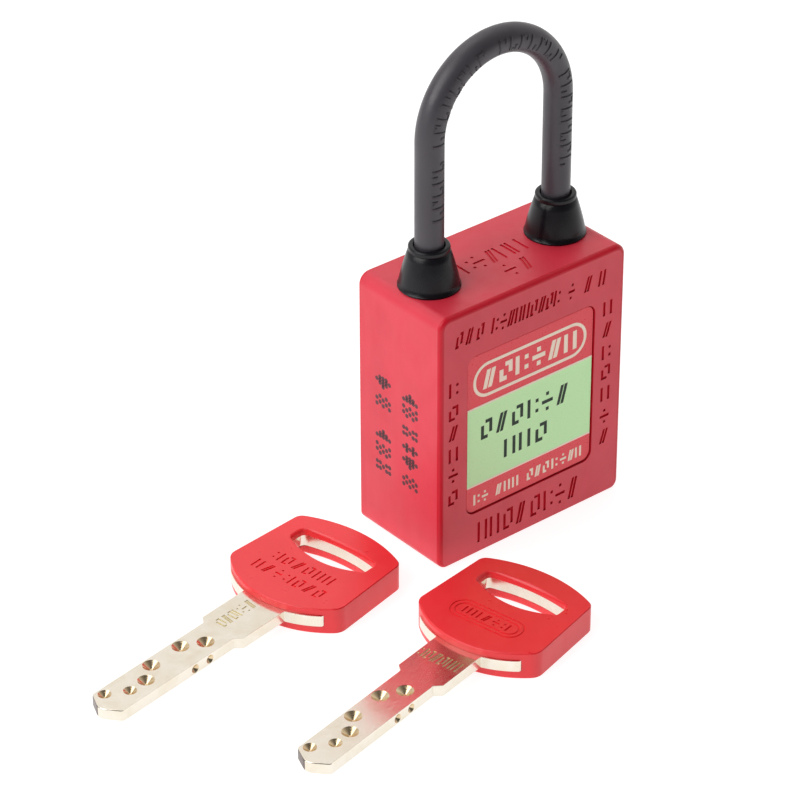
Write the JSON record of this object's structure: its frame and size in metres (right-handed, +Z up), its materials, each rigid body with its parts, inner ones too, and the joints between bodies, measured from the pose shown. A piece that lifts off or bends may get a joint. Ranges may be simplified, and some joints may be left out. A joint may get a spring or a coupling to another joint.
{
  "type": "safety padlock",
  "caption": "Compact lockout safety padlock: boxy plastic case, tall coated shackle with two conical collars, front label, keyed cylinder in the base and two dimple keys lying beside it.",
  "frame": {"origin": "centre of the whole set's footprint, on the surface that the padlock stands on and the keys lie on", "axes": "+Z up along the shackle, +X along the case's width, -Y is the side with the label"},
  "size_m": [0.1118, 0.057, 0.0929],
  "materials": {
    "red_nylon": "fine-grained moulded nylon, soft sheen",
    "bow_plastic": "smooth moulded plastic, slightly glossy",
    "collar_rubber": "smooth black rubber",
    "shackle_nylon": "dark grey moulded nylon, soft sheen",
    "label_film": "printed film, red and pale green bands",
    "zinc_alloy": "die-cast zinc alloy, dull",
    "brass": "turned brass, satin",
    "steel": "bright steel",
    "key_metal": "nickel-plated brass, bright"
  },
  "bodies": {
    "padlock_body": {"case": "red_nylon", "bottom_cover": "red_nylon", "collar_left": "collar_rubber", "collar_right": "collar_rubber", "label": "label_film", "inner_core": "zinc_alloy", "cylinder_housing": "brass", "chamber_strip": "brass", "cover_screw_1": "steel", "cover_screw_2": "steel", "cylinder_pin": "steel", "bolt_spring": "steel", "shackle_stop_pin": "steel", "shackle_spring": "steel", "driver_pin_1": "steel", "driver_pin_2": "steel", "driver_pin_3": "steel", "driver_pin_4": "steel", "driver_pin_5": "steel", "driver_pin_6": "steel", "driver_spring_1": "steel", "driver_spring_2": "steel", "driver_spring_3": "steel", "driver_spring_4": "steel", "driver_spring_5": "steel", "driver_spring_6": "steel"},
    "plug_body": {"plug": "brass", "plug_clip": "steel", "cam": "steel", "key_pin_1": "brass", "key_pin_2": "brass", "key_pin_3": "brass", "key_pin_4": "brass", "key_pin_5": "brass", "key_pin_6": "brass"},
    "bolt_body": {"lock_bolt": "steel"},
    "shackle_body": {"shackle": "shackle_nylon"},
    "key_1_body": {"key_1_blade": "key_metal", "key_1_bow": "bow_plastic"},
    "key_2_body": {"key_2_blade": "key_metal", "key_2_bow": "bow_plastic"}
  },
  "joints": [
    {"name": "shackle_lift", "type": "slide", "parent": "padlock_body", "child": "shackle_body", "axis": [0, 0, 1], "range_m": [0, 0.02], "deforming": ["shackle_spring"]},
    {"name": "plug_turn", "type": "hinge", "parent": "padlock_body", "child": "plug_body", "pos_m": [0.03514, 0.0147, 0], "axis": [0, 0, 1], "range_deg": [0, 90]},
    {"name": "bolt_slide", "type": "slide", "parent": "padlock_body", "child": "bolt_body", "axis": [-1, 0, 0], "range_m": [0, 0.00566], "deforming": ["bolt_spring"]},
    {"name": "key_1_lift", "type": "slide", "parent": "padlock_body", "child": "key_1_body", "axis": [0, 0, 1], "range_m": [0, 0.05]},
    {"name": "key_2_lift", "type": "slide", "parent": "padlock_body", "child": "key_2_body", "axis": [0, 0, 1], "range_m": [0, 0.05]}
  ],
  "couplings": [
    {"joint": "plug_turn", "follows": "shackle_lift", "rad_per_m": 78.54},
    {"joint": "bolt_slide", "follows": "shackle_lift", "ratio": 0.28284}
  ]
}
